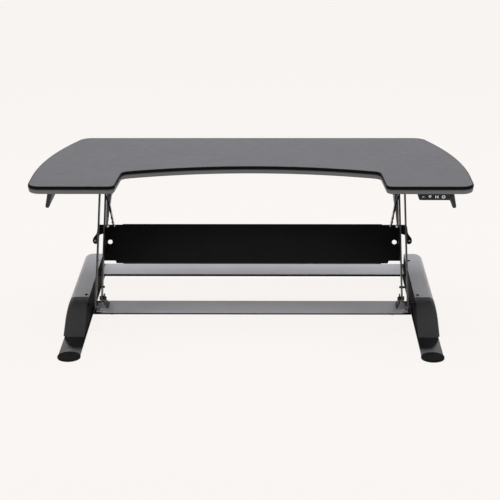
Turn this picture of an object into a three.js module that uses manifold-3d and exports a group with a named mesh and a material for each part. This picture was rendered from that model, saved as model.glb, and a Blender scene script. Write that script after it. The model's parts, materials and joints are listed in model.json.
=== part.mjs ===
// Electric standing desk converter, modelled raised. Millimetres: +X right, +Y to the back, +Z up.
// The origin is on the floor under the middle of the plan outline. Each side of the base carries two
// parallel arms that lean back as they rise, so the worktop swings up and towards the user.
import * as THREE from "three";
import { mergeVertices } from "three/addons/utils/BufferGeometryUtils.js";
import Module from "manifold-3d";

const wasm = await Module();
wasm.setup();

// ---------- driving dimensions ----------
const GAP = 0.3; // between neighbouring solids
const SHEET = 3; // formed sheet steel and moulded walls

const TOP_HALF = 609.5; // worktop: half width
const TOP_FRONT = -268;
const TOP_DEPTH = 549;
const TOP_Z = 480; // top face, raised
const TOP_THICK = 22;
const UNDER = TOP_Z - TOP_THICK; // underside of the worktop

const ARM_ANGLE = THREE.MathUtils.degToRad(54.9); // raised angle above the floor
const ARM_LENGTH = 452.2; // between pivots
const ARM_HALF = 12; // half the width of the flat bar
const ARM_THICK = 4;
const PIVOT_Z = 70; // base pivots
const FRONT_PIVOT_Y = -72;
const REAR_PIVOT_Y = -22;
const FRONT_ARM_X = 454; // mid planes of the outer and inner arms
const REAR_ARM_X = 441;
const BOLT_R = 5;

const RAIL_IN = 478; // side rail, inner face
const RAIL_TOP_OUT = 532; // outer face at the top
const RAIL_LOW_OUT = 540; // and at the floor
const RAIL_BACK = 381.5;
const RAIL_Z = 80;
const RAIL_LOW_Z = 3;
const WEB_TOP = 76; // the steel web stops just under the cover
const CAP_BACK = -49; // where the cover meets the nose cap
const NOSE_BROW = -55; // where the nose starts to roll over
const NOSE_R = 100;
const PLATE_Z = [2, 5]; // steel foot plate
const PLATE_IN = 474; // its inner edge
const DISC_X = 505; // front foot disc
const DISC_Y = -317;
const DISC_R = 32.5;
const DISC_Z = 6.5;
const BAR_TOP = 6.5; // front cross bar

const PANEL_LOW = 112; // cross panel, measured along the rear arms from their base pivots
const PANEL_HIGH = 234.5;
const PANEL_BACK = -17; // its back face, measured square to the arms
const STOP_S = 181; // bump stops on the panel's ears
const STOP_X = 468.5;

const SECTOR_R = 28; // drive: toothed sector on the torque tube, pinion below it
const PINION_R = 7;
const TUBE_R = 10;
const SPIGOT_R = 6; // turned-down ends of the torque tube
const CASE_HALF = 14;

const KEY_FRONT = -253; // keypad under the right wing
const KEY_LOW = 438;
const KEY_COUNT = 4;
const KEY_PITCH = 18.5;
const KEY_HALF = 5.5;
const KEY_FIRST_X = 470.5;
const KEY_Z = 448;

// ---------- materials ----------
function finish(color, roughness, metalness) {
  return new THREE.MeshStandardMaterial({ color, roughness, metalness });
}
const LAMINATE = finish(0x46464a, 0.6, 0);
const GREY_PAINT = finish(0x77777c, 0.45, 0.3);
const BLACK_PAINT = finish(0x151516, 0.5, 0.2);
const BLACK_PLASTIC = finish(0x1d1d1f, 0.4, 0);
const RUBBER = finish(0x101011, 0.8, 0);
const STEEL = finish(0x9a9a9c, 0.35, 0.9);
const KEYS = finish(0x2a2a2c, 0.5, 0);

// ---------- shapes ----------
const AXIS_X = new THREE.Vector3(1, 0, 0);
const AXIS_Y = new THREE.Vector3(0, 1, 0);
const AXIS_Z = new THREE.Vector3(0, 0, 1);

function block([x0, x1], [y0, y1], [z0, z1]) {
  const box = new THREE.BoxGeometry(x1 - x0, y1 - y0, z1 - z0);
  return box.translate((x0 + x1) / 2, (y0 + y1) / 2, (z0 + z1) / 2);
}

// A round bar between two points.
function rod(start, end, radius, sides = 20) {
  const from = new THREE.Vector3(...start);
  const to = new THREE.Vector3(...end);
  const along = to.clone().sub(from);
  const turn = new THREE.Quaternion().setFromUnitVectors(AXIS_Y, along.clone().normalize());
  const middle = from.add(to).multiplyScalar(0.5);
  const bar = new THREE.CylinderGeometry(radius, radius, along.length(), sides);
  return bar.applyQuaternion(turn).translate(middle.x, middle.y, middle.z);
}

// A closed outline with rounded corners, each given as [x, y, radius].
function rounded(corners) {
  const shape = new THREE.Shape();
  corners.forEach(([x, y, radius], i) => {
    const corner = new THREE.Vector2(x, y);
    const last = corners[(i + corners.length - 1) % corners.length];
    const next = corners[(i + 1) % corners.length];
    const back = new THREE.Vector2(last[0] - x, last[1] - y).normalize();
    const ahead = new THREE.Vector2(next[0] - x, next[1] - y).normalize();
    if (!radius) {
      if (i === 0) shape.moveTo(x, y);
      else shape.lineTo(x, y);
      return;
    }
    const half = Math.acos(back.dot(ahead)) / 2;
    const start = corner.clone().addScaledVector(back, radius / Math.tan(half));
    const end = corner.clone().addScaledVector(ahead, radius / Math.tan(half));
    const inward = back.clone().add(ahead).normalize();
    const middle = corner.clone().addScaledVector(inward, radius / Math.sin(half));
    const clockwise = back.cross(ahead) > 0;
    if (i === 0) shape.moveTo(start.x, start.y);
    const from = start.sub(middle).angle();
    const to = end.sub(middle).angle();
    shape.absarc(middle.x, middle.y, radius, from, to, clockwise);
  });
  return shape;
}

// A flat bar's outline with round ends and a pivot hole at each end.
function link(length, half, lowHole, highHole) {
  const shape = new THREE.Shape();
  shape.absarc(0, 0, half, Math.PI / 2, (3 * Math.PI) / 2, false);
  shape.absarc(length, 0, half, -Math.PI / 2, Math.PI / 2, false);
  shape.holes.push(new THREE.Path().absarc(0, 0, lowHole, 0, 2 * Math.PI, true));
  shape.holes.push(new THREE.Path().absarc(length, 0, highHole, 0, 2 * Math.PI, true));
  return shape;
}

function extrude(shape, depth, round) {
  return new THREE.ExtrudeGeometry(shape, { depth, bevelEnabled: false, curveSegments: round });
}

// An outline in (x, y) raised along Z.
function alongZ(shape, [z0, z1], round = 5) {
  return extrude(shape, z1 - z0, round).translate(0, 0, z0);
}

// An outline in (y, z) swept along X.
function alongX(shape, [x0, x1], round = 5) {
  const turn = new THREE.Matrix4().makeBasis(AXIS_Y, AXIS_Z, AXIS_X);
  return extrude(shape, x1 - x0, round).applyMatrix4(turn).translate(x0, 0, 0);
}

// An outline in (x, z) swept along Y.
function alongY(shape, [y0, y1], round = 5) {
  const turn = new THREE.Matrix4().makeBasis(AXIS_X, AXIS_Z, AXIS_Y.clone().negate());
  return extrude(shape, y1 - y0, round).applyMatrix4(turn).translate(0, y1, 0);
}

// A round cable along a smooth curve through points.
function cable(points, radius) {
  const curve = new THREE.CatmullRomCurve3(points.map((p) => new THREE.Vector3(...p)));
  const section = new THREE.Shape().absarc(0, 0, radius, 0, 2 * Math.PI, false);
  const options = { steps: 40, extrudePath: curve, bevelEnabled: false, curveSegments: 4 };
  return new THREE.ExtrudeGeometry(section, options);
}

// ---------- joining and cutting ----------
function toSolid(geometry) {
  const plain = geometry.index ? geometry.toNonIndexed() : geometry.clone();
  plain.deleteAttribute("normal");
  plain.deleteAttribute("uv");
  const merged = mergeVertices(plain, 1e-3);
  const mesh = new wasm.Mesh({
    numProp: 3,
    vertProperties: merged.attributes.position.array,
    triVerts: new Uint32Array(merged.index.array),
  });
  return new wasm.Manifold(mesh);
}

function toGeometry(solid) {
  const mesh = solid.getMesh();
  const geometry = new THREE.BufferGeometry();
  geometry.setAttribute("position", new THREE.BufferAttribute(mesh.vertProperties, 3));
  geometry.setIndex(new THREE.BufferAttribute(mesh.triVerts, 1));
  geometry.computeVertexNormals();
  return geometry;
}

function join(...geometries) {
  return toGeometry(geometries.map(toSolid).reduce((all, next) => all.add(next)));
}

function cut(geometry, ...tools) {
  return toGeometry(tools.map(toSolid).reduce((left, tool) => left.subtract(tool), toSolid(geometry)));
}

function common(a, b) {
  return toGeometry(toSolid(a).intersect(toSolid(b)));
}

// ---------- scene graph ----------
// The plan outline runs from the front of the foot discs to the back of the rails; its middle is the origin.
const converter = new THREE.Group();
converter.position.y = -(DISC_Y - DISC_R + RAIL_BACK) / 2;

function armGroup(pivotY) {
  const group = new THREE.Group();
  group.position.set(0, pivotY, PIVOT_Z);
  group.rotation.x = ARM_ANGLE;
  converter.add(group);
  return group;
}
const rearArms = armGroup(REAR_PIVOT_Y);
const frontArms = armGroup(FRONT_PIVOT_Y);

function add(name, geometry, material, parent = converter) {
  const mesh = new THREE.Mesh(geometry, material);
  mesh.name = name;
  parent.add(mesh);
  return mesh;
}

// The right-hand piece, and its mirror image on the left.
function addPair(name, geometry, material, parent = converter) {
  add(name + "_right", geometry, material, parent);
  add(name + "_left", geometry, material, parent).scale.x = -1;
}

// ---------- base ----------
function railSection(inset) {
  return rounded([
    [RAIL_IN - 2 * inset, RAIL_LOW_Z - 2 * inset, 0],
    [RAIL_LOW_OUT - inset, RAIL_LOW_Z - 2 * inset, 0],
    [RAIL_TOP_OUT - inset, RAIL_Z - inset, 14 - inset],
    [RAIL_IN - 2 * inset, RAIL_Z - inset, 0],
  ]);
}

function railPlan(inset) {
  return rounded([
    [RAIL_IN - 2 * inset, CAP_BACK - 2 * inset, 0],
    [RAIL_LOW_OUT, CAP_BACK - 2 * inset, 0],
    [RAIL_LOW_OUT, RAIL_BACK - inset, 34],
    [RAIL_IN - 2 * inset, RAIL_BACK - inset, 0],
  ]);
}

// The nose is level at the joint, then rolls over into a 45 degree face.
function nosePlan(inset) {
  const radius = NOSE_R - inset;
  const roll = Array.from({ length: 10 }, (_, i) => {
    const tilt = THREE.MathUtils.degToRad(5 * i);
    return [NOSE_BROW - radius * Math.sin(tilt), RAIL_Z - NOSE_R + radius * Math.cos(tilt), 0];
  });
  return rounded([
    [CAP_BACK - GAP + 2 * inset, RAIL_Z - inset, 0],
    ...roll,
    [-171.1 - 0.6 * inset, PLATE_Z[1] + GAP - 2 * inset, 0],
    [CAP_BACK - GAP + 2 * inset, PLATE_Z[1] + GAP - 2 * inset, 0],
  ]);
}

const railLength = [DISC_Y, RAIL_BACK + 10];
const coverOuter = common(alongY(railSection(0), railLength), alongZ(railPlan(0), [0, RAIL_Z + 5]));
const coverInner = common(
  alongY(railSection(SHEET), railLength),
  alongZ(railPlan(SHEET), [-10, RAIL_Z + 5]),
);
const capOuter = common(
  alongY(railSection(0), railLength),
  alongX(nosePlan(0), [RAIL_IN - 10, RAIL_LOW_OUT + 10]),
);
const capInner = common(
  alongY(railSection(SHEET), railLength),
  alongX(nosePlan(SHEET), [RAIL_IN - 10, RAIL_LOW_OUT + 10]),
);
addPair("rail_cover", cut(coverOuter, coverInner), GREY_PAINT);
addPair("nose_cap", cut(capOuter, capInner), BLACK_PLASTIC);

// The steel web stands inside the cover and carries the pivots; the foot plate is its bottom flange.
const web = alongX(
  rounded([
    [RAIL_BACK - 5, PLATE_Z[0], 0],
    [RAIL_BACK - 5, WEB_TOP, 0],
    [-56, WEB_TOP, 0],
    [-74, 71, 0],
    [-110, 52, 0],
    [-142, 20, 0],
    [-150, PLATE_Z[0], 0],
  ].reverse()),
  [RAIL_IN + GAP, RAIL_IN + GAP + 4],
);
const footPlate = alongZ(
  rounded([
    [PLATE_IN, DISC_Y - 27, 26],
    [536, DISC_Y - 27, 26],
    [536, CAP_BACK - 2, 0],
    [532, CAP_BACK - 2, 0],
    [532, RAIL_BACK - 44, 0],
    [500, RAIL_BACK - 6, 0],
    [PLATE_IN, RAIL_BACK - 6, 0],
  ]),
  PLATE_Z,
);
const frontHole = rod(
  [RAIL_IN - 5, FRONT_PIVOT_Y, PIVOT_Z],
  [RAIL_IN + 10, FRONT_PIVOT_Y, PIVOT_Z],
  BOLT_R + GAP,
);
addPair("rail_frame", cut(join(web, footPlate), frontHole), BLACK_PAINT);

function tongue(margin) {
  return block([PLATE_IN - margin, 536 + margin], [DISC_Y - 27 - margin, DISC_Y + 60], [
    PLATE_Z[0] - margin,
    PLATE_Z[1] + margin,
  ]);
}
const disc = rod([DISC_X, DISC_Y, 0], [DISC_X, DISC_Y, DISC_Z], DISC_R, 40);
addPair("foot_disc", cut(disc, tongue(GAP)), RUBBER);
addPair("foot_pad_rear", rod([506, 318, 0], [506, 318, PLATE_Z[0] - GAP], 19, 28), RUBBER);

// The two cross bars are shallow pans: a top sheet with a lip folded down at the front and the back.
function pan(half, [y0, y1], top, lip) {
  const sheet = block([-half, half], [y0, y1], [top - SHEET, top]);
  const front = block([-half, half], [y0, y0 + SHEET], [top - lip, top - 1]);
  const back = block([-half, half], [y1 - SHEET, y1], [top - lip, top - 1]);
  return join(sheet, front, back);
}
add("base_front_bar", pan(PLATE_IN - GAP, [23, 133], BAR_TOP, 4.5), GREY_PAINT);
add("base_rear_bar", pan(RAIL_IN - GAP, [254, 358], 50, 7), GREY_PAINT);
addPair("bar_pad", rod([418, 35, 0], [418, 35, BAR_TOP - SHEET - GAP], 8.5, 24), RUBBER);

// The outer arms turn on bolts through the rail webs. The inner arms turn on bolts through a gusset that
// stands on the front bar inboard of them, because the outer arms fold down across that pivot.
const HEAD_R = 8;
const ARM_FACE = ARM_THICK / 2 + 0.4; // washer face, clear of the arm
const frontBolt = join(
  rod(
    [FRONT_ARM_X - 9, FRONT_PIVOT_Y, PIVOT_Z],
    [FRONT_ARM_X - ARM_FACE - 1, FRONT_PIVOT_Y, PIVOT_Z],
    HEAD_R,
    6,
  ),
  rod([FRONT_ARM_X - 5, FRONT_PIVOT_Y, PIVOT_Z], [RAIL_IN + 12, FRONT_PIVOT_Y, PIVOT_Z], BOLT_R),
  rod([FRONT_ARM_X + ARM_FACE + 1, FRONT_PIVOT_Y, PIVOT_Z], [RAIL_IN, FRONT_PIVOT_Y, PIVOT_Z], 7.5),
);
addPair("front_base_bolt", frontBolt, STEEL);

const MOUNT_X = [433, 436];
const gusset = alongX(
  rounded([
    [REAR_PIVOT_Y - 13, PIVOT_Z + 12, 10],
    [REAR_PIVOT_Y - 13, PIVOT_Z - 10, 12],
    [62, BAR_TOP + GAP, 0],
    [103, BAR_TOP + GAP, 0],
    [103, BAR_TOP + 6, 4],
    [2, 60, 20],
    [REAR_PIVOT_Y + 12, PIVOT_Z + 12, 8],
  ]),
  MOUNT_X,
);
const mountFoot = alongZ(
  rounded([
    [MOUNT_X[0], 103, 0],
    [MOUNT_X[0], 64, 0],
    [452, 29, 0],
    [466, 29, 0],
    [466, 103, 0],
  ]),
  [BAR_TOP + GAP, BAR_TOP + GAP + SHEET],
);
const mountHole = rod([425, REAR_PIVOT_Y, PIVOT_Z], [445, REAR_PIVOT_Y, PIVOT_Z], BOLT_R + GAP);
addPair("pivot_mount", cut(join(gusset, mountFoot), mountHole), BLACK_PAINT);
const rearBolt = join(
  rod([REAR_ARM_X + ARM_FACE, REAR_PIVOT_Y, PIVOT_Z], [REAR_ARM_X + 7, REAR_PIVOT_Y, PIVOT_Z], HEAD_R, 6),
  rod([MOUNT_X[0] - 5, REAR_PIVOT_Y, PIVOT_Z], [REAR_ARM_X + 5, REAR_PIVOT_Y, PIVOT_Z], BOLT_R),
  rod([MOUNT_X[1] + GAP, REAR_PIVOT_Y, PIVOT_Z], [REAR_ARM_X - ARM_FACE, REAR_PIVOT_Y, PIVOT_Z], 7.5),
);
addPair("rear_base_bolt", rearBolt, STEEL);

// Pan-head screws hold each cover down; their heads stand just proud of it.
const SCREW_X = 487;
const SCREW_YS = { front: -21, rear: 297 };
for (const [place, y] of Object.entries(SCREW_YS)) {
  addPair("cover_screw_" + place, rod([SCREW_X, y, RAIL_Z + GAP], [SCREW_X, y, RAIL_Z + 2.3], 3.8, 16),
    BLACK_PAINT);
}

// ---------- arms ----------
// Their local frame: Y along the arm from its base pivot, Z square to it, towards the user.
function armSpan(x) {
  return [x - ARM_THICK / 2, x + ARM_THICK / 2];
}
const frontLink = link(ARM_LENGTH, ARM_HALF, BOLT_R + GAP, BOLT_R + GAP);
const rearLink = link(ARM_LENGTH, ARM_HALF, BOLT_R + GAP, SPIGOT_R + GAP);
addPair("front_arm", alongX(frontLink, armSpan(FRONT_ARM_X)), BLACK_PAINT, frontArms);
const PIN_S = 34.5; // a pin across each inner arm, near its foot
const PIN_R = 3.5;
const pinHole = rod([REAR_ARM_X - 5, PIN_S, 0], [REAR_ARM_X + 5, PIN_S, 0], PIN_R + GAP, 16);
addPair("rear_arm", cut(alongX(rearLink, armSpan(REAR_ARM_X)), pinHole), BLACK_PAINT, rearArms);
addPair("arm_pin", rod([REAR_ARM_X - 7, PIN_S, 0], [REAR_ARM_X + 10.5, PIN_S, 0], PIN_R, 16), BLACK_PAINT,
  rearArms);

// The cross panel lies behind both arms; its ears reach out past the outer arms to the bump stops.
const panelEnd = REAR_ARM_X + 1;
const halfPanel = [
  [403, PANEL_LOW, 0],
  [404, PANEL_LOW + 8, 0],
  [panelEnd, PANEL_LOW + 8, 4],
  [panelEnd, STOP_S + 24, 4],
  [456, STOP_S + 20, 4],
  [460.5, STOP_S + 4, 3],
  [460.5, STOP_S - 9, 6],
  [STOP_X + 7.5, STOP_S - 9, 8],
  [STOP_X + 7.5, STOP_S + 8, 8],
  [465, STOP_S + 24, 20],
  [463, PANEL_HIGH - 2, 8],
  [388, PANEL_HIGH - 2, 0],
  [387, PANEL_HIGH, 0],
];
const otherHalf = halfPanel.map(([x, s, radius]) => [-x, s, radius]).reverse();
const HOLE_X = 424;
const HOLE_S = 178.5;
const panelHoles = [-HOLE_X, HOLE_X].map((x) =>
  rod([x, HOLE_S, PANEL_BACK - 5], [x, HOLE_S, PANEL_BACK + 10], 7, 24),
);
const flangeX = [REAR_ARM_X - 5.3, REAR_ARM_X - 2.3];
const flanges = [1, -1].map((side) => {
  const x = flangeX.map((v) => v * side).sort((a, b) => a - b);
  return block(x, [PANEL_LOW + 12, PANEL_HIGH - 16], [PANEL_BACK + 1, 9]);
});
const sheet = alongZ(rounded([...halfPanel, ...otherHalf]), [PANEL_BACK, PANEL_BACK + SHEET]);
add("cross_panel", cut(join(sheet, ...flanges), ...panelHoles), BLACK_PAINT, rearArms);

const stopZ = PANEL_BACK + SHEET + GAP;
addPair("bump_stop", rod([STOP_X, STOP_S, stopZ], [STOP_X, STOP_S, stopZ + 3], 7.5, 20), RUBBER, rearArms);

// A tapered strap and a stay rod run from a lug high on each inner arm to the panel. The lug reaches
// across the arm's front edge to the upper end of the rod, which is bent where it has cleared the arm.
const LUG_S = 333;
const LUG_LOW = LUG_S - 7;
const LUG_FRONT = 16.4;
const ROD_FOOT_S = PANEL_HIGH - 9;
const STRAP_OUT = REAR_ARM_X - 2.4;
const lugSpan = [LUG_LOW, LUG_S + 7];
const lugBody = block([REAR_ARM_X - 20, REAR_ARM_X - 2 - GAP], lugSpan, [-13.6, LUG_FRONT]);
const lugBridge = block([REAR_ARM_X - 20, REAR_ARM_X + 8], lugSpan, [ARM_HALF + 0.4, LUG_FRONT]);
const strap = alongZ(
  rounded([
    [STRAP_OUT, LUG_S, 0],
    [STRAP_OUT - 13, LUG_S, 0],
    [STRAP_OUT - 6.5, ROD_FOOT_S, 0],
    [STRAP_OUT, ROD_FOOT_S, 0],
  ]),
  [-13.6, -11.6],
);
addPair("stay_bracket", join(lugBody, lugBridge, strap), STEEL, rearArms);
const rodBend = [REAR_ARM_X - 9, 283, 15.1];
const outerRod = join(
  rod([REAR_ARM_X + 5, LUG_LOW - 0.8, 15.1], rodBend, 2.5, 12),
  rod(rodBend, [REAR_ARM_X - 25, ROD_FOOT_S, -11], 2.5, 12),
);
addPair("stay_rod", outerRod, STEEL, rearArms);

// ---------- drive ----------
const TOP_PIVOT_Y = REAR_PIVOT_Y + ARM_LENGTH * Math.cos(ARM_ANGLE);
const TOP_PIVOT_Z = PIVOT_Z + ARM_LENGTH * Math.sin(ARM_ANGLE);
const FRONT_TOP_Y = FRONT_PIVOT_Y + ARM_LENGTH * Math.cos(ARM_ANGLE);

const BRACKET_OUT = 466;
const BRACKET_IN = 430;
const BRACKET_SHEET = 2; // thin enough for the arms' round ends to turn under it
const TUBE_HALF = REAR_ARM_X - 2 - GAP;
const SPIGOT_END = BRACKET_OUT + 5;
const tubeProfile = [
  [0, -SPIGOT_END],
  [SPIGOT_R, -SPIGOT_END],
  [SPIGOT_R, -TUBE_HALF],
  [TUBE_R, -TUBE_HALF],
  [TUBE_R, TUBE_HALF],
  [SPIGOT_R, TUBE_HALF],
  [SPIGOT_R, SPIGOT_END],
  [0, SPIGOT_END],
].map(([r, x]) => new THREE.Vector2(r, x));
const tube = new THREE.LatheGeometry(tubeProfile, 28).rotateZ(-Math.PI / 2);
add("torque_tube", tube.translate(0, TOP_PIVOT_Y, TOP_PIVOT_Z), STEEL);

// The sector points down and back when raised, and swings forward as the worktop comes down.
const SECTOR_MID = THREE.MathUtils.degToRad(296.25);
const SECTOR_HALF = THREE.MathUtils.degToRad(36);
const sectorShape = new THREE.Shape();
sectorShape.absarc(0, 0, TUBE_R + 2.6, SECTOR_MID + 1.2, SECTOR_MID - 1.2 + 2 * Math.PI, false);
sectorShape.absarc(0, 0, SECTOR_R, SECTOR_MID - SECTOR_HALF, SECTOR_MID + SECTOR_HALF, false);
sectorShape.holes.push(new THREE.Path().absarc(0, 0, TUBE_R + GAP, 0, 2 * Math.PI, true));
const sector = alongX(sectorShape, [-5, 5], 10).translate(0, TOP_PIVOT_Y, TOP_PIVOT_Z);
add("drive_sector", sector, STEEL);

const PINION_Z = TOP_PIVOT_Z - SECTOR_R - PINION_R - 0.4;
const MOTOR_R = 18;
const MOTOR_X = [CASE_HALF + GAP, 132];
const pinion = join(
  rod([-5, TOP_PIVOT_Y, PINION_Z], [5, TOP_PIVOT_Y, PINION_Z], PINION_R, 24),
  rod([-9, TOP_PIVOT_Y, PINION_Z], [MOTOR_X[0] + 8, TOP_PIVOT_Y, PINION_Z], 3, 16),
);
add("drive_pinion", pinion, STEEL);

const caseY = [TOP_PIVOT_Y - 36, TOP_PIVOT_Y + 34];
const caseZ = [PINION_Z - PINION_R - 6, UNDER - GAP];
const tubeBore = rod([-30, TOP_PIVOT_Y, TOP_PIVOT_Z], [30, TOP_PIVOT_Y, TOP_PIVOT_Z], TUBE_R + 0.6, 28);
const pinionBore = rod([-30, TOP_PIVOT_Y, PINION_Z], [30, TOP_PIVOT_Y, PINION_Z], 3.6, 16);
function caseHalf([x0, x1], [inner0, inner1]) {
  const shell = block([x0, x1], caseY, caseZ);
  const hollowY = [caseY[0] + SHEET, caseY[1] - SHEET];
  const hollow = block([inner0, inner1], hollowY, [caseZ[0] + SHEET, caseZ[1] + 1]);
  return cut(shell, hollow, tubeBore, pinionBore);
}
const caseWall = CASE_HALF - SHEET;
add("gear_case_right", caseHalf([GAP / 2, CASE_HALF], [-1, caseWall]), BLACK_PLASTIC);
add("gear_case_left", caseHalf([-CASE_HALF, -GAP / 2], [-caseWall, 1]), BLACK_PLASTIC);

const motorBody = rod([MOTOR_X[0], TOP_PIVOT_Y, PINION_Z], [MOTOR_X[1], TOP_PIVOT_Y, PINION_Z], MOTOR_R, 32);
const motorBore = rod([0, TOP_PIVOT_Y, PINION_Z], [MOTOR_X[0] + 12, TOP_PIVOT_Y, PINION_Z], 3.6, 16);
add("drive_motor", cut(motorBody, motorBore), STEEL);

// ---------- worktop and what hangs under it ----------
const halfTop = [
  [370, 0, 20],
  [TOP_HALF, 0, 36],
  [TOP_HALF, 305, 1050],
  [514.1, TOP_DEPTH, 40],
];
const cutOut = [
  [-361, 152.4, 25],
  [0, 269.6, 1100],
  [361, 152.4, 25],
];
const topLeft = halfTop.map(([x, y, radius]) => [-x, y, radius]).reverse();
const topOutline = [...halfTop, ...topLeft, ...cutOut];
const topShape = rounded(topOutline.map(([x, y, radius]) => [x, y + TOP_FRONT, radius]));
add("worktop", alongZ(topShape, [UNDER, TOP_Z], 5), LAMINATE);

// Each bracket is an inverted channel: the rear spigot runs in both webs, the front bolt in the outer.
const bracketTop = block([BRACKET_IN, BRACKET_OUT], [FRONT_TOP_Y - 22, TOP_PIVOT_Y + 22], [
  UNDER - GAP - BRACKET_SHEET,
  UNDER - GAP,
]);
const bracketOuter = block([BRACKET_OUT - SHEET, BRACKET_OUT], [FRONT_TOP_Y - 16, TOP_PIVOT_Y + 16], [
  TOP_PIVOT_Z - 13,
  UNDER - 2,
]);
const bracketInner = block([BRACKET_IN, BRACKET_IN + SHEET], [TOP_PIVOT_Y - 18, TOP_PIVOT_Y + 16], [
  TOP_PIVOT_Z - 13,
  UNDER - 2,
]);
const innerBore = rod([420, TOP_PIVOT_Y, TOP_PIVOT_Z], [440, TOP_PIVOT_Y, TOP_PIVOT_Z], TUBE_R + 0.5, 28);
const outerBore = rod([455, TOP_PIVOT_Y, TOP_PIVOT_Z], [475, TOP_PIVOT_Y, TOP_PIVOT_Z], SPIGOT_R + GAP);
const frontBore = rod([455, FRONT_TOP_Y, TOP_PIVOT_Z], [475, FRONT_TOP_Y, TOP_PIVOT_Z], BOLT_R + GAP);
const bracket = cut(join(bracketTop, bracketOuter, bracketInner), innerBore, outerBore, frontBore);
addPair("pivot_bracket", bracket, BLACK_PAINT);

const topBolt = join(
  rod([FRONT_ARM_X - 8, FRONT_TOP_Y, TOP_PIVOT_Z], [FRONT_ARM_X - 3.4, FRONT_TOP_Y, TOP_PIVOT_Z], 8, 6),
  rod([FRONT_ARM_X - 5, FRONT_TOP_Y, TOP_PIVOT_Z], [BRACKET_OUT + 4, FRONT_TOP_Y, TOP_PIVOT_Z], BOLT_R),
);
addPair("front_top_bolt", topBolt, STEEL);

const BOX_X = [150, 330];
const BOX_Y = [60, 160];
const BOX_Z = [425, UNDER - GAP];
add("control_box", block(BOX_X, BOX_Y, BOX_Z), BLACK_PLASTIC);
const inletX = [285, 313];
const inletBody = block(inletX, [BOX_Y[1] + GAP, BOX_Y[1] + 12], [427, 448]);
const inletMouth = block([290, 308], [BOX_Y[1] + 4, BOX_Y[1] + 20], [431, 444]);
add("power_inlet", cut(inletBody, inletMouth), BLACK_PLASTIC);

// Keypad: a wedge-ended housing with a pocket behind each button.
const keypad = alongY(
  rounded([
    [460, KEY_LOW, 0],
    [547, KEY_LOW, 0],
    [543.2, UNDER - GAP, 0],
    [455, UNDER - GAP, 0],
  ]),
  [KEY_FRONT, KEY_FRONT + 44],
);
const keyXs = Array.from({ length: KEY_COUNT }, (_, i) => KEY_FIRST_X + i * KEY_PITCH);
function keyBlock(x, half, y) {
  return block([x - half, x + half], y, [KEY_Z - half, KEY_Z + half]);
}
const pockets = keyXs.map((x) => keyBlock(x, KEY_HALF + 0.4, [KEY_FRONT - 5, KEY_FRONT + 8]));
add("keypad_housing", cut(keypad, ...pockets), BLACK_PLASTIC);
keyXs.forEach((x, i) => {
  add("button_" + (i + 1), keyBlock(x, KEY_HALF, [KEY_FRONT - 1.5, KEY_FRONT + 5.5]), KEYS);
});

// Carrying grips: slanted fins that run back under each wing.
const grip = alongY(
  rounded([
    [543.5, UNDER - GAP, 0],
    [554, 410, 5],
    [565, 408, 5],
    [556, UNDER - GAP, 0],
  ]),
  [-238, -106],
);
addPair("grip", grip, BLACK_PLASTIC);

// Wiring is clipped to the underside all the way.
const WIRE_Z = 452;
const keypadWire = [
  [505, KEY_FRONT + 44 + GAP, WIRE_Z],
  [505, -176, WIRE_Z],
  [498, -116, WIRE_Z],
  [470, -40, WIRE_Z],
  [420, 40, WIRE_Z],
  [380, 85, WIRE_Z],
  [350, 100, WIRE_Z],
  [BOX_X[1] + GAP, 100, WIRE_Z],
];
add("keypad_cable", cable(keypadWire, 2.5), RUBBER);
const motorWire = [
  [MOTOR_X[1] + GAP, TOP_PIVOT_Y, PINION_Z],
  [150, TOP_PIVOT_Y, PINION_Z],
  [180, TOP_PIVOT_Y - 8, PINION_Z + 6],
  [200, TOP_PIVOT_Y - 34, 430],
  [206, 185, 438],
  [206, BOX_Y[1] + GAP, 438],
];
add("motor_cable", cable(motorWire, 3), RUBBER);

export default converter;
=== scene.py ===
"""Looks of the standing desk converter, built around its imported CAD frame.

The frame is in metres, +Z up, +Y to the back. Shapes are drawn in millimetres in the same axes and
scaled as they become objects.
"""
import json
import math

import bmesh
import bpy
from mathutils import Euler, Matrix, Quaternion, Vector
from mathutils.geometry import tessellate_polygon


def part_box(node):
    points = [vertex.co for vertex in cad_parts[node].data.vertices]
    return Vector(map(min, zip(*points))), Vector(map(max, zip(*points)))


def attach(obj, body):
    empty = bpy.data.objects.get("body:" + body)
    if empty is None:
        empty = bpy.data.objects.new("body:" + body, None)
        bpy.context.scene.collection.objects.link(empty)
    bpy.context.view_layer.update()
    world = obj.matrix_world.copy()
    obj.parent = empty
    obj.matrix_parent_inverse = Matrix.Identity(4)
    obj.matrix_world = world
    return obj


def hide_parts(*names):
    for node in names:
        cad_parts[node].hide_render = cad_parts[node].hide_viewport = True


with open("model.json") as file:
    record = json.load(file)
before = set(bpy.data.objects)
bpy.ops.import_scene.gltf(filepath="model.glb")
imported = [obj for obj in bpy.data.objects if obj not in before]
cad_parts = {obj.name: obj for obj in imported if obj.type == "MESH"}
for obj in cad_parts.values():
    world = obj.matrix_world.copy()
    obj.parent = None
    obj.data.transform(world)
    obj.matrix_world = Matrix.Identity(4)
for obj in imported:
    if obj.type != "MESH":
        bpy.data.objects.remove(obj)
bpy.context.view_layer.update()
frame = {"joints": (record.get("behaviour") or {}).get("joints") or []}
joints = {joint["name"]: joint for joint in frame["joints"]}

MM = 0.001
SIDES = {"right": 1, "left": -1}
CHORD_ERROR = 0.05  # how far an arc's straight pieces may stand off it
SHEET = 3.0
GAP = 0.3
BOLT_HOLE = 5.3
SPIGOT_HOLE = 6.3  # where the lift tube's ends run
BOLT_R = 4.9
WEB_X = 478.3  # inner face of each rail's web


# ---------- places ----------
def span(node, axis):
    """Lowest and highest coordinate of a CAD node along an axis."""
    low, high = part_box(node)
    return low[axis] / MM, high[axis] / MM


def spans(node):
    return [span(node, axis) for axis in range(3)]


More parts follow.
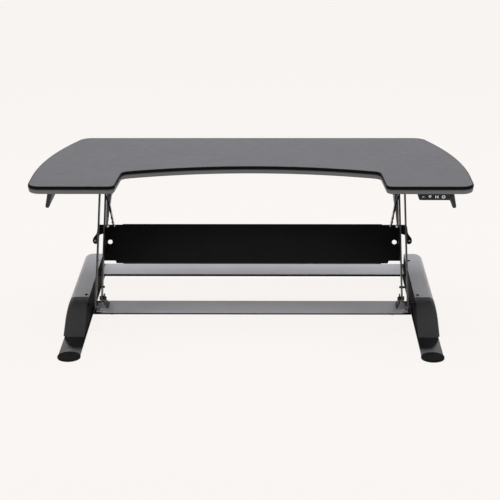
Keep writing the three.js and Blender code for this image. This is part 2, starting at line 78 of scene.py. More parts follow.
REAR_PIVOT = Vector(joints["lift"]["pos_m"]) / MM
FRONT_PIVOT = Vector(joints["outer_arm_swing"]["pos_m"]) / MM
TOP_PIVOT = Vector(joints["top_pivot"]["pos_m"]) / MM
PINION_AXIS = Vector(joints["pinion_spin"]["pos_m"]) / MM
ARM = TOP_PIVOT - REAR_PIVOT
ARM_LENGTH = ARM.length
ARM_ANGLE = math.atan2(ARM.z, ARM.y)
FRONT_TOP = FRONT_PIVOT + ARM
UNDER, TOP_Z = span("worktop", 2)

# Drawing planes: an outline in (x, y) is raised along Z, one in (y, z) along X, one in (x, z) along -Y.
FLAT = Matrix.Identity(4)
ALONG_X = Matrix(((0, 0, 1, 0), (1, 0, 0, 0), (0, 1, 0, 0), (0, 0, 0, 1)))
ALONG_Y = Matrix(((1, 0, 0, 0), (0, 0, -1, 0), (0, 1, 0, 0), (0, 0, 0, 1)))

# Turns that take local Z down, to the right and to the left.
DOWN = Matrix.Rotation(math.pi, 4, "X")
RIGHT = Matrix.Rotation(math.pi / 2, 4, "Y")
LEFT = Matrix.Rotation(-math.pi / 2, 4, "Y")


def arm_frame(pivot):
    """Local X across, Y up the arm from its base pivot, Z square to it towards the user."""
    return Matrix.Translation(pivot) @ Matrix.Rotation(ARM_ANGLE, 4, "X")


def at(x, y, z):
    return Matrix.Translation((x, y, z))


def toward(start, end):
    """A frame at start whose Z points to end, and the distance."""
    along = Vector(end) - Vector(start)
    turn = Vector((0, 0, 1)).rotation_difference(along.normalized()).to_matrix().to_4x4()
    return Matrix.Translation(start) @ turn, along.length


# ---------- outlines ----------
def rounded(corners, closed=True):
    """Points round an outline of (x, y, radius) corners, the rounded ones as arcs."""
    points = []
    count = len(corners)
    for i, (x, y, radius) in enumerate(corners):
        corner = Vector((x, y))
        if not radius or (not closed and i in (0, count - 1)):
            points.append(corner)
            continue
        back = (Vector(corners[i - 1][:2]) - corner).normalized()
        ahead = (Vector(corners[(i + 1) % count][:2]) - corner).normalized()
        half = back.angle(ahead) / 2
        middle = corner + (back + ahead).normalized() * (radius / math.sin(half))
        start = corner + back * (radius / math.tan(half)) - middle
        turn = math.pi - 2 * half
        if back.x * ahead.y > back.y * ahead.x:
            turn = -turn
        steps = max(2, math.ceil(abs(turn) / (2 * math.acos(1 - CHORD_ERROR / radius))))
        for k in range(steps + 1):
            arm = start.copy()
            arm.rotate(Matrix.Rotation(turn * k / steps, 2))
            points.append(middle + arm)
    return points


def circle(radius, x=0.0, y=0.0, sides=32):
    turns = (2 * math.pi * k / sides for k in range(sides))
    return [Vector((x + radius * math.cos(a), y + radius * math.sin(a))) for a in turns]


def polar(radius, angle):
    return Vector((radius * math.cos(angle), radius * math.sin(angle)))


def rectangle(x, y, radius=0.0):
    (x0, x1), (y0, y1) = x, y
    return rounded([(x0, y0, radius), (x1, y0, radius), (x1, y1, radius), (x0, y1, radius)])


def tab(x, y, radius):
    """A rectangle that is rounded at its lower corners only."""
    (x0, x1), (y0, y1) = x, y
    return rounded([(x0, y0, radius), (x1, y0, radius), (x1, y1, 0), (x0, y1, 0)])


def link(length, half):
    """A flat bar's outline with round ends, from one pivot to the other along Y."""
    ends = [polar(half, math.pi + math.pi * k / 24) for k in range(25)]
    return ends + [Vector((-p.x, length - p.y)) for p in ends]


def area(points):
    pairs = zip(points, points[1:] + points[:1])
    return sum(a.x * b.y - a.y * b.x for a, b in pairs) / 2


def inset(points, distance, closed=True):
    """An outline moved to its left: inwards where it runs anticlockwise."""
    moved = []
    count = len(points)
    for i, point in enumerate(points):
        before = (point - points[i - 1]).normalized()
        after = (points[(i + 1) % count] - point).normalized()
        if not closed and i == 0:
            before = after
        if not closed and i == count - 1:
            after = before
        side = Vector((-before.y - after.y, before.x + after.x))
        moved.append(point + side * (distance / max(0.35, 1 + before.dot(after))))
    return moved


def smooth_path(points, steps=6):
    """A Catmull-Rom curve through points."""
    knots = [Vector(p) for p in points]
    knots = [2 * knots[0] - knots[1], *knots, 2 * knots[-1] - knots[-2]]
    path = []
    for a, b, c, d in zip(knots, knots[1:], knots[2:], knots[3:]):
        for k in range(steps):
            t = k / steps
            path.append(0.5 * (2 * b + (c - a) * t + (2 * a - 5 * b + 4 * c - d) * t ** 2
                               + (3 * b - a - 3 * c + d) * t ** 3))
    return path + [knots[-2]]


# ---------- mesh forms ----------
class Form:
    """A mesh under construction, in millimetres. paint sets the material of the faces that follow."""

    def __init__(self):
        self.bm = bmesh.new()
        self.paint = 0

    def ring(self, points):
        return [self.bm.verts.new(p) for p in points]

    def face(self, verts):
        self.bm.faces.new(verts).material_index = self.paint

    def strip(self, first, second, closed=True):
        count = len(first)
        for i in range(count if closed else count - 1):
            j = (i + 1) % count
            self.face((first[i], first[j], second[j], second[i]))

    def cap(self, rings, outlines):
        """Fills the first ring, less the rings that are holes in it."""
        if len(rings) == 1:
            self.face(rings[0])
            return
        verts = [v for ring in rings for v in ring]
        flat = [[(p.x, p.y, 0) for p in outline] for outline in outlines]
        for triangle in tessellate_polygon(flat):
            self.face([verts[i] for i in triangle])

    def plate(self, outline, depth, place=FLAT, holes=(), bevel=0.5):
        """A plate of that outline with rounded-over edges, and round its holes too."""
        low, high = sorted(depth)
        contours = [outline if area(outline) > 0 else outline[::-1]]
        contours += [hole if area(hole) < 0 else hole[::-1] for hole in holes]
        edge = [(low, bevel), (low + 0.3 * bevel, 0.3 * bevel), (low + bevel, 0)]
        edge += [(high - bevel, 0), (high - 0.3 * bevel, 0.3 * bevel), (high, bevel)]
        stacks = []
        for contour in contours:
            rings = []
            for z, depth_in in edge:
                rings.append(self.ring([place @ Vector((p.x, p.y, z)) for p in inset(contour, depth_in)]))
            for first, second in zip(rings, rings[1:]):
                self.strip(first, second)
            stacks.append(rings)
        ends = [inset(contour, bevel) for contour in contours]
        self.cap([rings[0] for rings in stacks], ends)
        self.cap([rings[-1] for rings in stacks], ends)

    def turned(self, profile, place=FLAT, sides=40):
        """A (radius, height) profile turned round the local Z, from the axis to the axis."""
        rings = []
        for radius, height in profile:
            if radius < 1e-6:
                rings.append(self.ring([place @ Vector((0, 0, height))]))
                continue
            rings.append(self.ring([place @ Vector((p.x, p.y, height)) for p in circle(radius, sides=sides)]))
        for first, second in zip(rings, rings[1:]):
            if len(first) > 1 and len(second) > 1:
                self.strip(first, second)
                continue
            tip, rim = (first, second) if len(first) == 1 else (second, first)
            for a, b in zip(rim, rim[1:] + rim[:1]):
                self.face((a, b, tip[0]))

    def tube(self, path, radius, sides=14):
        """A round bar along a path, with rounded-over ends."""
        points = [Vector(p) for p in path]
        heading = (points[1] - points[0]).normalized()
        side = heading.orthogonal().normalized()
        rings = []
        for i, point in enumerate(points):
            new = (points[min(i + 1, len(points) - 1)] - points[max(i - 1, 0)]).normalized()
            side = heading.rotation_difference(new) @ side
            heading = new
            other = heading.cross(side)
            rings.append(self.ring([point + p.x * side + p.y * other for p in circle(radius, sides=sides)]))
        for first, second in zip(rings, rings[1:]):
            self.strip(first, second)
        self.face(rings[0])
        self.face(rings[-1])

    def hexagon(self, across, height, place):
        corners = circle(across / math.sqrt(3), sides=6)
        self.plate(corners, (0, height), place, bevel=min(0.8, height / 4))

    def screw(self, radius, height, place):
        """A low domed head with a round drive socket."""
        self.turned([(0, height * 0.3), (radius * 0.42, height * 0.3), (radius * 0.45, height * 0.98),
                     (radius * 0.62, height * 0.96), (radius * 0.86, height * 0.72), (radius, height * 0.3),
                     (radius, 0), (0, 0)], place, sides=24)


def piece(form, name, body, slot, finishes, nodes=(), side=1, shell=0.0, crease=38):
    """Turns a form into an object that rides on a body and stands for CAD nodes."""
    bm = form.bm
    bmesh.ops.scale(bm, vec=(side * MM, MM, MM), verts=bm.verts)
    bmesh.ops.remove_doubles(bm, verts=bm.verts, dist=1e-7)
    bmesh.ops.recalc_face_normals(bm, faces=bm.faces)
    mesh = bpy.data.meshes.new(name)
    bm.to_mesh(mesh)
    bm.free()
    for surface in finishes:
        mesh.materials.append(surface)
    mesh.polygons.foreach_set("use_smooth", [True] * len(mesh.polygons))
    mesh.set_sharp_from_angle(angle=math.radians(crease))
    obj = bpy.data.objects.new(name, mesh)
    bpy.context.collection.objects.link(obj)
    if shell:
        thicken = obj.modifiers.new("wall", "SOLIDIFY")
        thicken.thickness = shell * MM
        thicken.offset = -1
        thicken.use_even_offset = True
    obj.modifiers.new("normals", "WEIGHTED_NORMAL").keep_sharp = True
    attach(obj, body)
    if nodes:
        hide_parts(*nodes)
    return obj


def sided(form, word, name, body, slot, finishes, node, **options):
    """A piece drawn on the right, for the right or the left. It stands for that side's CAD node."""
    piece(form, name + "_" + word, body, slot, finishes, [node + "_" + word], SIDES[word], **options)


# ---------- finishes ----------
NOISE_RANGE = (0.3, 0.7)  # where nearly all of a noise texture's values lie


def add(tree, kind, **values):
    """A shader node with those input values."""
    node = tree.nodes.new("ShaderNode" + kind)
    for name, value in values.items():
        node.inputs[name].default_value = value
    return node


def calculate(tree, kind, a, b):
    node = add(tree, "Math")
    node.operation = kind
    for socket, value in zip(node.inputs, (a, b)):
        if isinstance(value, (int, float)):
            socket.default_value = value
        else:
            tree.links.new(value, socket)
    return node.outputs[0]


def blend(tree, amount, a, b):
    """Mixes two colours, or an earlier mix and a colour."""
    node = add(tree, "Mix")
    node.data_type = "RGBA"
    tree.links.new(amount, node.inputs["Factor"])
    for socket, value in zip(("A", "B"), (a, b)):
        target = [s for s in node.inputs if s.name == socket and s.type == "RGBA"][0]
        if isinstance(value, tuple):
            target.default_value = (*value, 1)
        else:
            tree.links.new(value, target)
    return [s for s in node.outputs if s.type == "RGBA"][0]


def ramp(tree, value, source, target):
    """Maps a value from one range to another."""
    node = add(tree, "MapRange")
    node.inputs["From Min"].default_value, node.inputs["From Max"].default_value = source
    node.inputs["To Min"].default_value, node.inputs["To Max"].default_value = target
    tree.links.new(value, node.inputs["Value"])
    return node.outputs["Result"]


def finish(name, colour, roughness, metallic=0.0, specular=0.5, speckle=(900, 0.1), broad=0.06,
           bump=(1400, 0.03), stretch=(1, 1, 1), worn=None):
    """A procedural surface: fine and broad colour variation, uneven gloss, a fine bump and rubbed edges."""
    made = bpy.data.materials.new(name)
    made.use_nodes = True
    tree = made.node_tree
    wires = tree.links
    shader = tree.nodes["Principled BSDF"]
    shader.inputs["Metallic"].default_value = metallic
    shader.inputs["Specular IOR Level"].default_value = specular

    place = add(tree, "TexCoord")
    scale = add(tree, "Mapping", Scale=stretch)
    wires.new(place.outputs["Object"], scale.inputs["Vector"])

    def noise(size, detail):
        node = add(tree, "TexNoise", Scale=size, Detail=detail)
        wires.new(scale.outputs["Vector"], node.inputs["Vector"])
        return node.outputs["Fac"]

    size, amount = speckle
    fine = noise(size, 3)
    wide = noise(9, 2)
    mixed = calculate(tree, "ADD", ramp(tree, fine, NOISE_RANGE, (-amount, amount)),
                      ramp(tree, wide, NOISE_RANGE, (-broad, broad)))
    reach = amount + broad
    shade = ramp(tree, mixed, (-reach, reach), (0, 1))
    dark = tuple(c * (1 - reach) for c in colour)
    light = tuple(min(1.0, c * (1 + reach)) for c in colour)
    tone = blend(tree, shade, dark, light)
    gloss = ramp(tree, noise(60, 2), NOISE_RANGE, (roughness * 0.9, min(1.0, roughness * 1.12)))
    if worn:
        bevel = add(tree, "Bevel", Radius=0.0012)
        bevel.samples = 4
        facing = add(tree, "NewGeometry")
        turned = add(tree, "VectorMath")
        turned.operation = "DOT_PRODUCT"
        wires.new(bevel.outputs["Normal"], turned.inputs[0])
        wires.new(facing.outputs["True Normal"], turned.inputs[1])
        edge = ramp(tree, turned.outputs["Value"], (0.86, 0.97), (1, 0))
        rubbed = calculate(tree, "MULTIPLY", edge, ramp(tree, noise(220, 4), (0.48, 0.66), (0, 1)))
        tone = blend(tree, rubbed, tone, worn)
        gloss = calculate(tree, "ADD", gloss, calculate(tree, "MULTIPLY", rubbed, 0.1))
    wires.new(tone, shader.inputs["Base Color"])
    wires.new(gloss, shader.inputs["Roughness"])

    lift = add(tree, "Bump", Strength=0.6, Distance=bump[1] * MM)
    wires.new(noise(bump[0], 2), lift.inputs["Height"])
    wires.new(lift.outputs["Normal"], shader.inputs["Normal"])
    return made


LAMINATE = finish("laminate", (0.125, 0.1235, 0.135), 0.62, specular=0.25, speckle=(700, 0.13), broad=0.03,
                  bump=(1100, 0.06), stretch=(0.8, 1, 1))
BACKING = finish("laminate_backing", (0.05, 0.05, 0.052), 0.7, specular=0.2, speckle=(500, 0.2))
EDGE_BLACK = finish("edge_black", (0.002, 0.002, 0.0025), 0.5, specular=0.05, worn=(0.05, 0.05, 0.05))
EDGE_GREY = finish("edge_grey", (0.115, 0.115, 0.12), 0.5, specular=0.2, speckle=(600, 0.08))
SATIN = {"specular": 0.3, "speckle": (1200, 0.06), "broad": 0.03}
COATED = {**SATIN, "bump": (1500, 0.04), "worn": (0.6, 0.6, 0.62)}
COVER_GREY = finish("cover_grey", (0.36, 0.355, 0.385), 0.42, bump=(1600, 0.03), worn=(0.5, 0.5, 0.52),
                    **SATIN)
BAR_GREY = finish("bar_grey", (0.48, 0.475, 0.51), 0.45, **COATED)
NOSE = finish("nose_moulding", (0.03, 0.03, 0.031), 0.5, specular=0.15, speckle=(1500, 0.2), broad=0.1,
              bump=(2200, 0.012), worn=(0.04, 0.04, 0.04))
# The front bar's grey is a lighter copy of the bar grey: painted light that makes up for the shade the
# worktop casts on it.
FRONT_GREY_LIGHTENED = finish("front_bar_grey_lightened", (0.54, 0.535, 0.57), 0.45, **COATED)
PAINT = finish("black_paint", (0.003, 0.003, 0.0031), 0.4, specular=0.1, speckle=(1100, 0.25), broad=0.15,
               bump=(1300, 0.05), worn=(0.06, 0.06, 0.06))
ARM_PAINT = finish("arm_paint", (0.04, 0.04, 0.041), 0.36, specular=0.5, speckle=(1100, 0.2), broad=0.1,
                   bump=(1300, 0.04), worn=(0.12, 0.12, 0.12))
PLATE = finish("foot_plate_paint", (0.004, 0.004, 0.005), 0.16, specular=0.7, speckle=(1100, 0.2), broad=0.1,
               bump=(1300, 0.02), worn=(0.05, 0.05, 0.05))
MATT = finish("matt_black", (0.004, 0.004, 0.004), 0.85, specular=0.05, speckle=(1100, 0.25), broad=0.15,
              bump=(1300, 0.05))
DARK_STEEL = finish("dark_steel", (0.03, 0.03, 0.03), 0.45, metallic=0.6, speckle=(700, 0.2))
# A darker grey for the top of the worktop edge's grey band: painted shade where that rounded band turns away
# from the light.
EDGE_PAINTED_SHADE = finish("edge_painted_shade", (0.04, 0.04, 0.042), 0.5, specular=0.2, speckle=(600, 0.1))
PLASTIC = finish("black_plastic", (0.008, 0.008, 0.0085), 0.5, specular=0.3, speckle=(1300, 0.2),
                 bump=(1500, 0.06), worn=(0.03, 0.03, 0.03))
GRIP = finish("grip_plastic", (0.02, 0.02, 0.021), 0.55, specular=0.3, speckle=(1000, 0.25), bump=(900, 0.1))
KEYS = finish("key_plastic", (0.012, 0.012, 0.013), 0.4, specular=0.4, speckle=(1500, 0.15))
GLYPH = finish("glyph_ink", (0.95, 0.95, 0.95), 0.5, specular=0.3, speckle=(2000, 0.05))
RUBBER = finish("rubber", (0.005, 0.005, 0.0052), 0.7, specular=0.1, speckle=(800, 0.3), bump=(700, 0.12))
ZINC = finish("zinc_steel", (0.55, 0.55, 0.57), 0.34, metallic=1.0, speckle=(500, 0.15), broad=0.08,
              bump=(900, 0.02), stretch=(0.2, 1, 1), worn=(0.7, 0.7, 0.7))
STRAP = finish("strap_zinc", (0.68, 0.68, 0.69), 0.32, metallic=0.9, speckle=(500, 0.12), broad=0.06,
               bump=(900, 0.02))
JACKET = finish("cable_jacket", (0.01, 0.01, 0.01), 0.55, specular=0.3, speckle=(700, 0.2), bump=(800, 0.05))


# ---------- worktop ----------
def worktop():
    low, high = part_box("worktop")
    half, front, depth = high.x / MM, low.y / MM, (high.y - low.y) / MM
    wing = [(370, 0, 20), (half, 0, 36), (half, 305, 1050), (514.1, depth, 40)]
    recess = [(-361, 152.4, 25), (0, 269.6, 1100), (361, 152.4, 25)]
    corners = wing + [(-x, y, r) for x, y, r in reversed(wing)] + recess
    outline = rounded([(x, y + front, r) for x, y, r in corners])
    if area(outline) < 0:
        outline.reverse()
    # Down the edge: (how far in, height, the finish from there to the next).
    face, black, grey, backing, dark = range(5)
    crown, waist, foot = TOP_Z, TOP_Z - 8, UNDER
    # The dark finish just under the waist is painted shade over the top of the grey band.
    edge = [(3.2, crown, black), (1.2, crown - 0.4, black), (0.2, crown - 1.6, black), (0, crown - 3, black),
            (0, waist, black), (0.35, waist - 0.3, dark), (0.6, waist - 2.8, grey), (0.9, waist - 4.5, grey),
            (1.9, foot + 2.6, grey), (3.2, foot + 0.9, grey), (5, foot, grey)]
    form = Form()
    rings = [form.ring([(p.x, p.y, z) for p in inset(outline, d)]) for d, z, _ in edge]
    for (_, _, paint), first, second in zip(edge, rings, rings[1:]):
        form.paint = paint
        form.strip(first, second)
    form.paint = face
    form.face(rings[0])
    form.paint = backing
    form.face(rings[-1])
    finishes = [LAMINATE, EDGE_BLACK, EDGE_GREY, BACKING, EDGE_PAINTED_SHADE]
    piece(form, "worktop_board", "top", "laminate", finishes, ["worktop"], crease=50)


def grips():
    _, (y0, y1), (tip, _) = spans("grip_right")
    top = UNDER - GAP
    for word in SIDES:
        form = Form()
        fin = rounded([(543.5, top, 0), (553.6, tip + 2, 5), (565, tip, 5), (556, top, 0)])
        form.plate(fin, (-y1, -y0), ALONG_Y, bevel=2.6)
        form.plate(rectangle((550, 566), (y0 + 2, y1 - 2), 5), (top - 2.2, top), bevel=0.8)
        for y in (y0 + 12, y1 - 12):
            form.screw(3, 2, at(561, y, top - 2.2) @ DOWN)
        sided(form, word, "carry_grip", "top", "grip_plastic", [GRIP], "grip")


# ---------- keypad ----------
# Each key's marks: lines from one (x, z) to another.
KEY_STROKES = {
    1: [((-3, -1.4), (0, 1.8)), ((0, 1.8), (3, -1.4))],
    2: [((-3, 1.4), (0, -1.8)), ((0, -1.8), (3, 1.4)), ((-2.4, 3.2), (2.4, 3.2))],
    3: [((-3.4, -3), (-3.4, 3)), ((3.4, -3), (3.4, 3)), ((-3.4, 0), (3.4, 0))],
    4: [((-3.8, -3), (3.8, -3)), ((3.8, -3), (3.8, 3)), ((3.8, 3), (-3.8, 3)), ((-3.8, 3), (-3.8, -3))],
}
GLYPH_HALF = {1: 0.45, 2: 0.8, 3: 0.85, 4: 0.9}


def keypad():
    _, (front, back), (low, _) = spans("keypad_housing")
    top = UNDER - GAP
    outline = rounded([(460, low, 5), (547, low, 3), (543.2, top, 0), (455, top, 0)])
    pockets = []
    for number in KEY_STROKES:
        (x0, x1), _, (z0, z1) = spans("button_%d" % number)
        pockets.append(rectangle((x0 - 0.4, x1 + 0.4), (z0 - 0.4, z1 + 0.4), 1.4))
    form = Form()
    form.plate(outline, (-front - 8, -front), ALONG_Y, pockets, bevel=0.7)
    form.plate(inset(outline, 0.01), (-back, -front - 8), ALONG_Y, bevel=0.7)
    piece(form, "keypad_case", "top", "black_plastic", [PLASTIC], ["keypad_housing"])
    for number in KEY_STROKES:
        key(number)


def key(number):
    node = "button_%d" % number
    (x0, x1), (y0, y1), (z0, z1) = spans(node)
    form = Form()
    form.plate(rectangle((x0, x1), (z0, z1), 1.2), (-y1, -y0), ALONG_Y, bevel=0.7)
    form.paint = 1
    middle = Vector(((x0 + x1) / 2, (z0 + z1) / 2))
    for start, end in KEY_STROKES[number]:
        a, b = middle + Vector(start), middle + Vector(end)
        along = (b - a).normalized() * GLYPH_HALF[number]
        across = Vector((-along.y, along.x))
        corners = [a - along - across, b + along - across, b + along + across, a - along + across]
        form.plate(corners, (-y0 - 0.3, -y0 + 0.12), ALONG_Y, bevel=0.05)
    piece(form, "key_cap_%d" % number, "key_%d" % number, "key_plastic", [KEYS, GLYPH], [node])


# ---------- under the worktop ----------
def brackets():
    (x0, x1), (y0, y1), (low, _) = spans("pivot_bracket_right")
    top = UNDER - GAP
    for word in SIDES:
        form = Form()
        holes = [circle(SPIGOT_HOLE, TOP_PIVOT.y, TOP_PIVOT.z, 28),
                 circle(BOLT_HOLE, FRONT_TOP.y, FRONT_TOP.z, 28)]
        web_back = TOP_PIVOT.y + 16
        outer = tab((FRONT_TOP.y - 16, web_back), (low, top), 10)
        form.plate(outer, (x1 - SHEET, x1), ALONG_X, holes)
        inner = tab((TOP_PIVOT.y - 18, web_back), (low, top), 10)
        form.plate(inner, (x0, x0 + SHEET), ALONG_X, [circle(10.5, TOP_PIVOT.y, TOP_PIVOT.z, 32)])
        form.plate(rectangle((x0, x1), (y0, y1), 4), (top - 2, top))
        for y in (y0 + 8, y1 - 8):
            for x in (x0 + 9, x1 - 9):
                form.screw(3.4, 2, at(x, y, top - 2) @ DOWN)
        sided(form, word, "worktop_bracket", "top", "black_paint", [PAINT], "pivot_bracket")


def gear_case():
    (_, half), (y0, y1), (z0, z1) = spans("gear_case_right")
    outline = tab((y0, y1), (z0, z1), 12)
    hollow = tab((y0 + SHEET, y1 - SHEET), (z0 + SHEET, z1 - 1), 9)
    bores = [circle(10.6, TOP_PIVOT.y, TOP_PIVOT.z, 32), circle(3.6, PINION_AXIS.y, PINION_AXIS.z, 20)]
    for word in SIDES:
        form = Form()
        form.plate(outline, (GAP / 2, half - SHEET), ALONG_X, [hollow], bevel=0.4)
        form.plate(outline, (half - SHEET, half), ALONG_X, bores, bevel=0.9)
        for y, z in ((y0 + 7, z0 + 9), (y1 - 7, z0 + 9), (y0 + 7, z1 - 9), (y1 - 7, z1 - 9)):
            form.screw(3, 1.8, at(half, y, z) @ RIGHT)
        for k in range(5):
            y = y0 + 18 + 8.5 * k
            rib = rectangle((y, y + 2), (z0 + 4, z0 + 11), 0.9)
            form.plate(rib, (half - 0.5, half + 0.8), ALONG_X, bevel=0.3)
        sided(form, word, "gear_housing", "top", "black_plastic", [PLASTIC], "gear_case")


def motor():
    x0, x1 = span("drive_motor", 0)
    length = x1 - x0
    profile = [(0, 0), (17.4, 0), (18, 0.6), (18, 9), (15.5, 9.8), (15.5, 12)]
    height = 12.0
    while height < length - 22:
        profile += [(17.6, height + 0.5), (17.6, height + 3), (16.2, height + 3.5), (16.2, height + 5.5)]
        height += 5.5
    profile += [(17.8, height + 1), (17.8, length - 6), (16, length - 1.5), (14, length), (6, length),
                (6, length - 1.5), (0, length - 1.5)]
    place = at(x0, PINION_AXIS.y, PINION_AXIS.z) @ RIGHT
    form = Form()
    form.turned(profile, place, sides=56)
    piece(form, "gear_motor", "top", "zinc_steel", [ZINC], ["drive_motor"])


def control_box():
    (x0, x1), (y0, y1), (z0, z1) = spans("control_box")
    form = Form()
    form.plate(rectangle((x0, x1), (y0, y1), 7), (z0 + 2.6, z1), bevel=1.0)
    slots = [rectangle((x0 + 30 + 8 * k, x0 + 33 + 8 * k), (y0 + 28, y1 - 28), 1.4) for k in range(16)]
    form.plate(rectangle((x0 + 1, x1 - 1), (y0 + 1, y1 - 1), 6), (z0, z0 + 2.6), holes=slots, bevel=0.7)
    for x in (x0 + 9, x1 - 9):
        for y in (y0 + 9, y1 - 9):
            form.screw(3.2, 1.6, at(x, y, z0) @ DOWN)
    piece(form, "control_unit", "top", "black_plastic", [PLASTIC], ["control_box"])


def power_inlet():
    (x0, x1), (y0, y1), (z0, z1) = spans("power_inlet")
    form = Form()
    outer = rectangle((x0, x1), (z0, z1), 2.5)
    mouth = rounded([(x0 + 5, z0 + 4, 1.5), (x1 - 5, z0 + 4, 1.5), (x1 - 5, z1 - 7, 0), (x1 - 8, z1 - 4, 0),
                     (x0 + 8, z1 - 4, 0), (x0 + 5, z1 - 7, 0)])
    form.plate(outer, (-y1, -y0 - 3.6), ALONG_Y, [mouth])
    form.plate(outer, (-y0 - 3.6, -y0), ALONG_Y, bevel=0.4)
    form.paint = 1
    middle = (x0 + x1) / 2
    for x, z in ((middle, z0 + 13), (middle - 5, z0 + 9), (middle + 5, z0 + 9)):
        form.plate(rectangle((x - 1, x + 1), (z - 2, z + 2), 0.4), (-y1 + 1.5, -y0 - 3), ALONG_Y, bevel=0.2)
    piece(form, "inlet_socket", "top", "black_plastic", [PLASTIC, ZINC], ["power_inlet"])


def cables():
    """The leads clipped to the underside, along their CAD routes."""
    case_back = span("keypad_housing", 1)[1]
    level = span("keypad_cable", 2)[0] + 2.5
    box_end = span("control_box", 0)[1]
    pad = [(505, case_back + GAP, level), (505, -192, level), (498, -132, level), (470, -56, level),
           (420, 24, level), (380, 69, level), (350, 84, level), (box_end + GAP, 84, level)]
    route = smooth_path(pad, 8)
    form = Form()
    form.tube(route, 2.4, 16)
    piece(form, "keypad_lead", "top", "cable_jacket", [JACKET], ["keypad_cable"])
    form = Form()
    for k in (12, 24, 34, 44):
        form_clip(form, route[k], route[k + 1])
    piece(form, "lead_clips", "top", "black_plastic", [PLASTIC])

    motor_end = span("drive_motor", 0)[1]
    y, z = PINION_AXIS.y, PINION_AXIS.z
    lead = [(motor_end + GAP, y, z), (150, y, z), (180, y - 8, z + 6), (200, y - 34, 430), (206, 169, 438),
            (206, span("control_box", 1)[1] + GAP, 438)]
    form = Form()
    form.tube(smooth_path(lead, 8), 2.9, 16)
    piece(form, "motor_lead", "top", "cable_jacket", [JACKET], ["motor_cable"])
    form = Form()
    for start, end in ((lead[0], (lead[0][0] + 12, y, z)), (lead[-1], (206, lead[-1][1] + 12, 438))):
        place, _ = toward(start, end)
        form.turned([(3.0, 0), (5, 0), (5, 2), (4.2, 3), (4.4, 5), (3.8, 6), (3.9, 8), (3.2, 11), (3.0, 11),
                     (3.0, 0)], place, 24)
    piece(form, "motor_lead_sleeves", "top", "cable_jacket", [JACKET])


def form_clip(form, point, onward):
    """A saddle over a lead, with a tab screwed to the underside."""
    along = (onward - point).normalized()
    turn = Matrix.Rotation(math.atan2(along.y, along.x), 4, "Z")
    place = Matrix.Translation(point) @ turn
    top = UNDER - GAP - point.z
    outside, inside, sheet, tab = 3.4, 2.5, 1.4, 12
    turns = [math.pi * k / 12 for k in range(13)]
    arch = [polar(-outside, a) for a in turns]
    bore = [Vector((inside * math.cos(a), -inside * math.sin(a))) for a in turns]
    outline = [Vector((-outside, top)), *arch, Vector((outside, top - sheet)), Vector((tab, top - sheet)),
               Vector((tab, top)), Vector((inside, top)), *bore, Vector((-inside, top))]
    form.plate(outline, (-3, 3), place @ ALONG_X, bevel=0.25)
    form.screw(2.2, 1.2, place @ at(0, 8, top - sheet) @ DOWN)


# ---------- fasteners ----------
def shank(form, place, length):
    """A bolt's shank along local Z, chamfered at its end."""
    profile = [(0, -0.5), (BOLT_R, -0.5), (BOLT_R, length - 0.8), (BOLT_R - 0.7, length), (0, length)]
    form.turned(profile, place, 28)


def bolts():
    for word in SIDES:
        # Outer arm: head inboard, a collar between the arm and the rail's web.
        x0, x1 = span("front_base_bolt_right", 0)
        form = Form()
        head = 7.1
        place = at(x0 + head, FRONT_PIVOT.y, FRONT_PIVOT.z) @ RIGHT
        form.hexagon(14, 5.5, place @ at(0, 0, -head))
        form.turned([(0, -1.6), (8.5, -1.6), (8.8, -1.2), (8.8, -0.4), (8.5, 0), (0, 0)], place)
        shank(form, place, x1 - x0 - head)
        start = span("front_arm_right", 0)[1] + 0.4
        reach = WEB_X - GAP - start
        form.paint = 1
        form.turned([(5, 0), (7.4, 0), (7.6, 0.3), (7.6, 1.2), (5.6, 1.4), (5.6, reach), (5, reach), (5, 0)],
                    at(start, FRONT_PIVOT.y, FRONT_PIVOT.z) @ RIGHT)
        sided(form, word, "outer_arm_bolt", "base", "zinc_steel", [DARK_STEEL, PAINT], "front_base_bolt")

        # Inner arm: head outboard, a spacer and a nut at the gusset.
        x0, x1 = span("rear_base_bolt_right", 0)
        arm_x0, arm_x1 = span("rear_arm_right", 0)
        start = arm_x1 + 0.4
        form = Form()
        place = at(start, REAR_PIVOT.y, REAR_PIVOT.z) @ LEFT
        form.hexagon(12, x1 - start - 1, place @ at(0, 0, start - x1))
        form.turned([(0, -1.1), (7, -1.1), (7.2, -0.8), (7.2, -0.2), (7, 0), (0, 0)], place)
        shank(form, place, start - x0)
        gusset = span("pivot_mount_right", 0)[0]
        seat = gusset + SHEET + GAP
        reach = arm_x0 - seat - 0.5
        form.turned([(5, 0), (6.2, 0), (6.2, reach), (5, reach), (5, 0)],
                    at(seat, REAR_PIVOT.y, REAR_PIVOT.z) @ RIGHT)
        form.hexagon(10, 3.6, at(gusset - 3.9, REAR_PIVOT.y, REAR_PIVOT.z) @ RIGHT)
        sided(form, word, "inner_arm_bolt", "base", "zinc_steel", [DARK_STEEL], "rear_base_bolt")

        # Outer arm's top end.
        x0, x1 = span("front_top_bolt_right", 0)
        form = Form()
        head = 5.6
        place = at(x0 + head, FRONT_TOP.y, FRONT_TOP.z) @ RIGHT
        form.hexagon(14, 4, place @ at(0, 0, -5.4))
        form.turned([(0, -1.4), (7.6, -1.4), (7.8, -1), (7.8, -0.4), (7.6, 0), (0, 0)], place)
        shank(form, place, x1 - x0 - head)
        sided(form, word, "outer_arm_top_bolt", "top", "zinc_steel", [ZINC], "front_top_bolt")


# ---------- arms ----------
ARM_HALF = 12
PIN_S = 34.5


